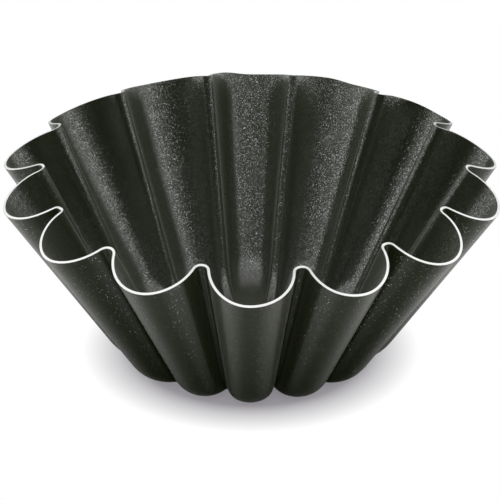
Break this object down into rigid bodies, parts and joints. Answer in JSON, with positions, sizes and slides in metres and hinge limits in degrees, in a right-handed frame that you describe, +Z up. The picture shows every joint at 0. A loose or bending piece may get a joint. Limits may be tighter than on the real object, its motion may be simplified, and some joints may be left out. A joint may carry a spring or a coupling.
{
  "type": "brioche mould",
  "caption": "Round baking mould pressed from one coated steel sheet: small flat floor, steeply flared fluted wall and a bare trimmed rim that dips at each flute.",
  "frame": {"origin": "centre of the underside, in the plane that the mould rests on", "axes": "+Z up through the middle of the mouth; a flute's tip points along -Y, to the front, and another along +Y"},
  "size_m": [0.1566, 0.16, 0.066],
  "materials": {
    "bare_steel": "bare sheet steel, seen only at the freshly trimmed edge",
    "inner_nonstick": "charcoal non-stick coat with dense fine bright flakes",
    "outer_satin": "charcoal satin coat with a few stray flakes"
  },
  "bodies": {
    "root": {"pressed_shell": "bare_steel", "inner_coat": "inner_nonstick", "outer_coat": "outer_satin"}
  },
  "joints": []
}
